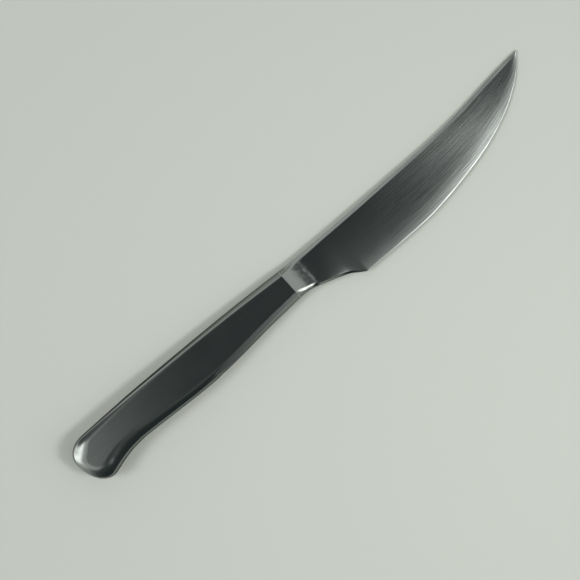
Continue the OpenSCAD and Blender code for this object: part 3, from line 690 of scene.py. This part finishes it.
    def spigot_sections(self):
        """Both ends of the spigot: the neck's first section drawn in to fit the mouth."""
        ends = self.body_sections(np.array([self.shoulder_x]))[[0, 0]]
        inset = self.handle.s.wall + self.s.spigot_fit
        middle, half_w = self.mouth_middle_y, (self.mouth_back_y - self.mouth_edge_y) / 2
        ends[..., 0] = [[self.root_x], [self.shoulder_x]]
        ends[..., 1] = middle + (ends[..., 1] - middle) * (1 - inset / half_w)
        ends[..., 2] = ends[..., 2] * (1 - inset / self.mouth_z)
        return ends

    def tang_sections(self, columns):
        """Plain sections of the tang with upright sides, and as many columns as a blade section has."""
        s = self.s
        t = np.linspace(0, 1, TANG_STEPS) ** TANG_CROWD_POWER
        x = mix(self.root_x - s.tang_len, self.root_x, ease(t))
        half_w = np.maximum(self.tang_half_w(x), TANG_END_HALF_W)
        up = np.linspace(0, 1, SIDE_COLUMNS)
        over = np.linspace(0, 1, columns - 2 * SIDE_COLUMNS + 2)[1:-1]
        y = np.concatenate([0 * up - 1, 2 * over - 1, 0 * up + 1])
        z = np.concatenate([up, 0 * over + 1, up[::-1]])
        return np.stack([
            x[:, None] + 0 * y,
            self.mouth_middle_y + half_w[:, None] * y,
            s.tang_t / 2 * z + 0 * x[:, None],
        ], -1)

    def tang_half_w(self, x):
        """Half width of the tang: a bar with a round end and a row of notches on each side."""
        s = self.s
        full = s.tang_w / 2
        from_end = np.clip(x - (self.root_x - s.tang_len), 0, full)
        half = np.sqrt(np.maximum(full ** 2 - (full - from_end) ** 2, 0))
        for i in range(1, NOTCHES + 1):
            off = x - (self.root_x - s.tang_len * i / (NOTCHES + 1))
            cut = np.sqrt(np.maximum(s.notch_r ** 2 - off ** 2, 0))
            centre = full + NOTCH_DEPTH_SHARE * s.notch_r
            half = np.where(cut > 0, np.minimum(half, centre - cut), half)
        return half


def lay_down(points, handle):
    """From the knife's own frame to the part's: tipped by the taper and lifted onto the lower flat."""
    c, s = math.cos(handle.taper), math.sin(handle.taper)
    x, y, z = points[..., 0], points[..., 1], points[..., 2]
    return np.stack([x * c + z * s, y, -x * s + z * c + handle.half_t(0) * c], -1)


def stand_up(points, handle):
    """The reverse of lay_down()."""
    c, s = math.cos(handle.taper), math.sin(handle.taper)
    x, y, z = points[..., 0], points[..., 1], points[..., 2] - handle.half_t(0) * c
    return np.stack([x * c - z * s, y, x * s + z * c], -1)


def tube_faces(rows, columns):
    """Quads of a grid whose last column joins its first."""
    r, c = np.meshgrid(np.arange(rows - 1) * columns, np.arange(columns), indexing="ij")
    n = (c + 1) % columns
    return np.stack([r + c, r + n, r + columns + n, r + columns + c], -1).reshape(-1, 4).tolist()


def shell_mesh(handle, upper):
    """One half shell: outer and inner skin as one loop per station, closed over the rims and the mouth."""
    s = handle.s
    outer = handle.half_skin(0)
    inner = handle.half_skin(s.wall)
    for skin in (outer, inner):
        skin[..., 2] = np.maximum(skin[..., 2], s.seam_t / 2)
    outer[:, 0, 1] -= s.seam_break
    outer[:, -1, 1] += s.seam_break
    loop = np.concatenate([outer, inner[:, ::-1]], 1)
    if not upper:
        loop[..., 2] *= -1
    rows, columns = loop.shape[:2]
    k = np.arange(columns // 2 - 1)
    mouth = np.stack([k, k + 1, columns - 2 - k, columns - 1 - k], -1)
    return lay_down(loop, handle), tube_faces(rows, columns) + mouth.tolist()


def blade_mesh(blade):
    """Tang, spigot, neck and blade as one closed loft: a round-ended bar, two steps, and the ground blade."""
    scoop = mix(blade.shoulder_x, blade.scoop_x, SCOOP_T)
    ricasso = mix(blade.scoop_x, blade.heel_x, np.arange(1, RICASSO_STEPS + 1) / RICASSO_STEPS)
    t = np.arange(1, EDGE_STEPS + 1) / EDGE_STEPS
    edge = mix(blade.heel_x, blade.point_x, t * (1 + POINT_CROWD * (1 - t)))
    body = blade.body_sections(np.concatenate([scoop, ricasso, edge]))
    half = np.concatenate([blade.tang_sections(body.shape[1]), blade.spigot_sections(), body])
    under = half[:, -2:0:-1] * np.array([1, 1, -1])
    loop = np.concatenate([half, under], 1)
    rows, columns = loop.shape[:2]
    last = (rows - 1) * columns
    ends = [list(range(columns)), list(range(last, last + columns))]
    return lay_down(loop, blade.handle), tube_faces(rows, columns) + ends


def new_object(name, data):
    """An object in the scene, with its mesh, camera or light."""
    thing = bpy.data.objects.new(name, data)
    bpy.context.scene.collection.objects.link(thing)
    return thing


def make_piece(name, points, faces, nodes, sharp=32):
    """A closed mesh object at the origin: doubles merged, faces outwards, edges over sharp degrees sharp."""
    mesh = bpy.data.meshes.new(name)
    mesh.from_pydata(points.reshape(-1, 3).tolist(), [], faces)
    work = bmesh.new()
    work.from_mesh(mesh)
    bmesh.ops.remove_doubles(work, verts=work.verts, dist=MERGE_DISTANCE)
    bmesh.ops.dissolve_degenerate(work, edges=work.edges, dist=MERGE_DISTANCE)
    bmesh.ops.recalc_face_normals(work, faces=work.faces)
    work.to_mesh(mesh)
    work.free()
    mesh.shade_smooth()
    mesh.set_sharp_from_angle(angle=math.radians(sharp))
    piece = new_object(name, mesh)
    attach(piece, BODY)
    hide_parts(*nodes)
    return piece


def lay_uv(piece, blade):
    """UV map in metres: along the knife, and across it as the blade's grain runs."""
    mesh = piece.data
    co = np.empty(len(mesh.vertices) * 3)
    mesh.vertices.foreach_get("co", co)
    p = stand_up(co.reshape(-1, 3), blade.handle)
    corner = np.empty(len(mesh.loops), int)
    mesh.loops.foreach_get("vertex_index", corner)
    uv = np.stack([p[:, 0], blade.across(p[:, 0], p[:, 1])], -1)[corner]
    layer = mesh.uv_layers.new(name=BRUSHED["uv_map"])
    layer.uv.foreach_set("vector", uv.ravel())


def new_tree(owner):
    """Empties the node tree of a material or world and returns it."""
    owner.use_nodes = True
    owner.node_tree.nodes.clear()
    return owner.node_tree


def add(tree, kind, values=None, **settings):
    """A node with its settings, and with values for its inputs by name or number."""
    node = tree.nodes.new(kind)
    for key, value in settings.items():
        setattr(node, key, value)
    for key, value in (values or {}).items():
        if isinstance(value, bpy.types.NodeSocket):
            tree.links.new(value, node.inputs[key])
        else:
            node.inputs[key].default_value = value
    return node


def calculate(tree, operation, *values):
    """Result of a Math node on numbers or sockets."""
    return add(tree, "ShaderNodeMath", dict(enumerate(values)), operation=operation).outputs[0]


def ramp(tree, value, start, end, low=0.0, high=1.0, kind="SMOOTHSTEP"):
    """Low where the value is at start, high where it is at end, and a ramp between them."""
    return add(tree, "ShaderNodeMapRange", {
        "Value": value, "From Min": start, "From Max": end, "To Min": low, "To Max": high,
    }, interpolation_type=kind).outputs[0]


def noise(tree, place, size, detail, roughness=0.5):
    """Noise around a half with blobs of a size in millimetres."""
    return add(tree, "ShaderNodeTexNoise", {
        "Vector": place, "Scale": 1 / (size * MM), "Detail": detail, "Roughness": roughness,
    }).outputs["Fac"]


def bump(tree, height, depth, below=None):
    """Normal of a height with a depth in millimetres, laid over another normal where one is given."""
    values = {"Height": height, "Distance": depth * MM, "Strength": 1.0}
    if below:
        values["Normal"] = below
    return add(tree, "ShaderNodeBump", values).outputs[0]


def colour_mix(tree, factor, first, second, blend="MIX"):
    """Colour between two others by a factor, or the first changed by the second as blend says."""
    return add(tree, "ShaderNodeMix", {
        "Factor": factor, MIX_A: first, MIX_B: second,
    }, data_type="RGBA", blend_type=blend).outputs[MIX_RESULT]


def toned(colour, tone):
    """A colour made lighter or darker, with a full alpha."""
    return (*[min(1, c * tone) for c in colour], 1)


def new_material(name):
    """A material and its empty tree."""
    material = bpy.data.materials.new(name)
    return material, new_tree(material)


def finish_surface(tree, values):
    """Principled shader with values for its inputs, joined to the material's output."""
    shader = add(tree, "ShaderNodeBsdfPrincipled", values)
    add(tree, "ShaderNodeOutputMaterial", {0: shader.outputs[0]})


def grain_group():
    """Grain, made once: streaks drawn out along x of its vector, as a height from 0 to 1 around a half."""
    if "grain" in bpy.data.node_groups:
        return bpy.data.node_groups["grain"]
    tree = bpy.data.node_groups.new("grain", "ShaderNodeTree")
    tree.interface.new_socket(name="Vector", in_out="INPUT", socket_type="NodeSocketVector")
    for label in ("Length", "Width", "Detail"):
        tree.interface.new_socket(name=label, in_out="INPUT", socket_type="NodeSocketFloat")
    tree.interface.new_socket(name="Height", in_out="OUTPUT", socket_type="NodeSocketFloat")
    given = add(tree, "NodeGroupInput").outputs
    parts = add(tree, "ShaderNodeSeparateXYZ", {0: given["Vector"]})
    along = calculate(tree, "DIVIDE", parts.outputs[0], given["Length"])
    over = calculate(tree, "DIVIDE", parts.outputs[1], given["Width"])
    place = add(tree, "ShaderNodeCombineXYZ", {0: along, 1: over})
    streaks = add(tree, "ShaderNodeTexNoise", {
        "Vector": place.outputs[0], "Scale": 1.0, "Detail": given["Detail"], "Roughness": 0.6,
    }, noise_dimensions="2D")
    add(tree, "NodeGroupOutput", {"Height": streaks.outputs["Fac"]})
    return tree


def steel_material(name, colour, rough, look):
    """Bare steel: brushed grain in its bump and tone, smudges in its roughness, and painted shade that
    darkens the steep sides.
    """
    material, tree = new_material(name)
    place = add(tree, "ShaderNodeTexCoord").outputs
    source = place["Object"]
    if "uv_map" in look:
        source = add(tree, "ShaderNodeUVMap", uv_map=look["uv_map"]).outputs[0]
    coarse, fine = (
        add(tree, "ShaderNodeGroup", {
            "Vector": source, "Length": run * MM, "Width": width * MM, "Detail": detail,
        }, node_tree=grain_group()).outputs["Height"]
        for run, width, detail, _depth in (look["coarse"], look["fine"])
    )
    size, depth = look["ripple"]
    normal = bump(tree, noise(tree, place["Object"], size, detail=1.0), depth)
    if "forged" in look:
        size, depth, start, end = look["forged"]
        along = add(tree, "ShaderNodeSeparateXYZ", {0: source}).outputs[0]
        lumps = noise(tree, place["Object"], size, detail=1.5)
        lumps = calculate(tree, "MULTIPLY", lumps, ramp(tree, along, end * MM, start * MM))
        normal = bump(tree, lumps, depth, normal)
        start, end = look["calm"]
        calm = ramp(tree, along, end * MM, start * MM)
        coarse = add(tree, "ShaderNodeMix", {"Factor": calm, "A": coarse, "B": NOISE_MIDDLE}).outputs[0]
    for height, (*_grain, depth) in ((coarse, look["coarse"]), (fine, look["fine"])):
        normal = bump(tree, height, depth, normal)
    size, spread = look["smudge"]
    smudge = noise(tree, place["Object"], size, detail=4.0, roughness=0.55)
    tone = ramp(tree, coarse, *NOISE_RANGE, kind="LINEAR")
    base = colour_mix(tree, tone, toned(colour, 1 - look["tone"]), toned(colour, 1 + look["tone"]))
    # Painted shade: the base colour is darkened on steep sides, for the shaded floor that those sides mirror.
    facing = add(tree, "ShaderNodeSeparateXYZ", {0: place["Normal"]}).outputs[2]
    painted_steep_shade = ramp(tree, calculate(tree, "ABSOLUTE", facing), *STEEP_SHADE_RANGE)
    finish_surface(tree, {
        "Base Color": colour_mix(tree, painted_steep_shade, base, toned(WHITE, look["painted_side_shade"]), "MULTIPLY"),
        "Roughness": ramp(tree, smudge, *NOISE_RANGE, rough - spread, rough + spread, "LINEAR"),
        "Normal": normal,
        "Metallic": 1.0,
        "Specular Tint": toned(WHITE, look["edge_tint"]),
    })
    return material


def grainy_material(name, colour, rough, size, depth, metallic):
    """Solder or cement: a fine grain in tone and bump."""
    material, tree = new_material(name)
    grain = noise(tree, add(tree, "ShaderNodeTexCoord").outputs["Object"], size, detail=5.0)
    finish_surface(tree, {
        "Base Color": colour_mix(tree, grain, *(toned(colour, tone) for tone in GRAINY_TONES)),
        "Normal": bump(tree, grain, depth),
        "Roughness": rough,
        "Metallic": metallic,
    })
    return material


class KNIFE_OT_handle_shells(bpy.types.Operator):
    """Make the two half shells of the handle"""

    bl_idname = "knife.handle_shells"
    bl_label = "Handle shells"

    def execute(self, context):
        handle = HandleForm(context.scene.knife_handle)
        look = context.scene.knife_look
        satin = steel_material("satin_steel", look.steel, look.handle_rough, SATIN)
        for side in ("upper", "lower"):
            points, faces = shell_mesh(handle, side == "upper")
            piece = make_piece(side + "_shell_satin", points, faces, [side + "_handle_shell"])
            piece.data.materials.append(satin)
        return {"FINISHED"}


class KNIFE_OT_blade(bpy.types.Operator):
    """Make the blade with its neck and its tang"""

    bl_idname = "knife.blade"
    bl_label = "Blade"

    def execute(self, context):
        blade = BladeForm(context.scene.knife_blade, HandleForm(context.scene.knife_handle))
        look = context.scene.knife_look
        points, faces = blade_mesh(blade)
        piece = make_piece("blade_brushed", points, faces, ["blade"], sharp=25)
        lay_uv(piece, blade)
        piece.data.materials.append(steel_material("brushed_steel", look.steel, look.blade_rough, BRUSHED))
        return {"FINISHED"}


class KNIFE_OT_joints(bpy.types.Operator):
    """Finish the solder of the two joints and the cement inside"""

    bl_idname = "knife.joints"
    bl_label = "Solder and cement"

    def execute(self, context):
        look = context.scene.knife_look
        solder = grainy_material("solder", look.solder, rough=0.35, size=0.5, depth=0.002, metallic=1.0)
        cement = grainy_material("cement", look.cement, rough=0.9, size=0.8, depth=0.05, metallic=0.0)
        for node, material in (("seam_solder", solder), ("neck_solder", solder), ("cement_core", cement)):
            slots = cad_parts[node].data.materials
            slots.clear()
            slots.append(material)
        return {"FINISHED"}


class KNIFE_OT_studio(bpy.types.Operator):
    """Make the floor, the light and the camera"""

    bl_idname = "knife.studio"
    bl_label = "Studio"

    def execute(self, context):
        studio = context.scene.knife_studio
        add_camera(context, HandleForm(context.scene.knife_handle), studio)
        add_floor(studio)
        add_lamps(studio)
        add_sky(context, studio)
        context.scene.view_settings.view_transform = "Standard"
        return {"FINISHED"}


def picture_axes(studio):
    """The picture's right and up as directions in the knife's own frame."""
    c, s = math.cos(studio.view_turn), math.sin(studio.view_turn)
    return Vector((c, -s, 0)), Vector((s, c, 0))


def direction(studio, turn, tilt):
    """Direction leaning by tilt from overhead, towards turn in the picture, both in degrees."""
    right, up = picture_axes(studio)
    turn, tilt = math.radians(turn), math.radians(tilt)
    aside = right * math.cos(turn) + up * math.sin(turn)
    return aside * math.sin(tilt) + Vector((0, 0, math.cos(tilt)))


def add_camera(context, handle, studio):
    """Camera square over the knife's middle plane."""
    right, up = picture_axes(studio)
    tip = Matrix.Rotation(handle.taper, 3, "Y")
    at = Vector((studio.view_x, -studio.view_drop, studio.camera_height))
    lift = Vector((0, 0, handle.half_t(0) * math.cos(handle.taper)))
    data = bpy.data.cameras.new("camera")
    data.sensor_fit = "HORIZONTAL"
    data.lens = data.sensor_width * studio.camera_height / studio.view_width
    data.clip_start = 10 * MM
    camera = new_object("camera", data)
    turn = Matrix((right, up, right.cross(up))).transposed()
    camera.matrix_world = Matrix.Translation(tip @ at + lift) @ (tip @ turn).to_4x4()
    context.scene.camera = camera


def add_floor(studio):
    """Wide plane just under the knife."""
    corners = [(x, y, -FLOOR_GAP) for x in (-FLOOR_REACH, FLOOR_REACH) for y in (-FLOOR_REACH, FLOOR_REACH)]
    mesh = bpy.data.meshes.new("floor")
    mesh.from_pydata(corners, [], [[0, 2, 3, 1]])
    floor = new_object("floor", mesh)
    material, tree = new_material("floor")
    finish_surface(tree, {"Base Color": (*studio.floor, 1), "Roughness": 0.7, "Specular IOR Level": 0.3})
    mesh.materials.append(material)


def add_lamps(studio):
    """A small soft box to the picture's right and a broad one to its left; the steel mirrors only the sky."""
    middle = Vector((studio.view_x, -studio.view_drop, 0))
    for name, turn, tilt, distance, width in LAMPS:
        toward = direction(studio, turn, tilt)
        data = bpy.data.lights.new(name, "AREA")
        data.shape = "SQUARE"
        data.size = width
        data.energy = getattr(studio, name + "_power")
        lamp = new_object(name, data)
        lamp.location = middle + toward * distance
        lamp.rotation_euler = toward.to_track_quat("Z", "Y").to_euler()
        lamp.visible_glossy = False


def soft_disc(tree, place, toward, inner, outer):
    """One within a disc round a direction of the sky, fading out to nothing."""
    dot = add(tree, "ShaderNodeVectorMath", {0: place, 1: toward}, operation="DOT_PRODUCT")
    angle = calculate(tree, "ARCCOSINE", dot.outputs["Value"])
    return ramp(tree, angle, math.radians(outer), math.radians(inner))


def add_sky(context, studio):
    """World of plain walls with soft patches of light and dark laid over them, each round its direction."""
    world = bpy.data.worlds.new("studio")
    context.scene.world = world
    tree = new_tree(world)
    place = add(tree, "ShaderNodeTexCoord").outputs["Generated"]
    light = SKY_WALL
    for _name, level, turn, tilt, inner, outer in SKY_DISCS:
        mask = soft_disc(tree, place, direction(studio, turn, tilt), inner, outer)
        light = add(tree, "ShaderNodeMix", {"Factor": mask, "A": light, "B": level}).outputs[0]
    for _name, level, turn, tilt, inner, outer in SKY_HAZES:
        mask = soft_disc(tree, place, direction(studio, turn, tilt), inner, outer)
        light = calculate(tree, "MULTIPLY_ADD", mask, level, light)
    colour = add(tree, "ShaderNodeVectorMath", {0: SKY_TINT, "Scale": light}, operation="SCALE").outputs[0]
    for operation, value in (("ADD", SKY_CAST), ("MAXIMUM", (0, 0, 0))):
        colour = add(tree, "ShaderNodeVectorMath", {0: colour, 1: value}, operation=operation).outputs[0]
    background = add(tree, "ShaderNodeBackground", {"Color": colour, "Strength": 1.0})
    add(tree, "ShaderNodeOutputWorld", {0: background.outputs[0]})


class KNIFE_PT_panel(bpy.types.Panel):
    """The knife's operators and sizes"""

    bl_idname = "KNIFE_PT_panel"
    bl_label = "Steak knife"
    bl_space_type = "VIEW_3D"
    bl_region_type = "UI"
    bl_category = "Knife"

    def draw(self, context):
        column = self.layout.column()
        for maker in MAKERS:
            column.operator(maker.bl_idname)
        for name in GROUPS:
            box = self.layout.box()
            for field in getattr(context.scene, name).bl_rna.properties:
                if not field.is_readonly and field.identifier != "name":
                    box.prop(getattr(context.scene, name), field.identifier)


MAKERS = (KNIFE_OT_handle_shells, KNIFE_OT_blade, KNIFE_OT_joints, KNIFE_OT_studio)
GROUPS = {
    "knife_handle": HandleSizes,
    "knife_blade": BladeSizes,
    "knife_look": SteelLook,
    "knife_studio": StudioLook,
}
CLASSES = (*GROUPS.values(), *MAKERS, KNIFE_PT_panel)


def register():
    """Registers the classes and hangs the sizes on the scene."""
    for item in CLASSES:
        bpy.utils.register_class(item)
    for name, item in GROUPS.items():
        setattr(bpy.types.Scene, name, PointerProperty(type=item))


def unregister():
    """The reverse of register()."""
    for name in GROUPS:
        delattr(bpy.types.Scene, name)
    for item in reversed(CLASSES):
        bpy.utils.unregister_class(item)


def main():
    """Builds everything in order."""
    register()
    bpy.ops.knife.handle_shells()
    bpy.ops.knife.blade()
    bpy.ops.knife.joints()
    bpy.ops.knife.studio()


if __name__ == "__main__":
    main()
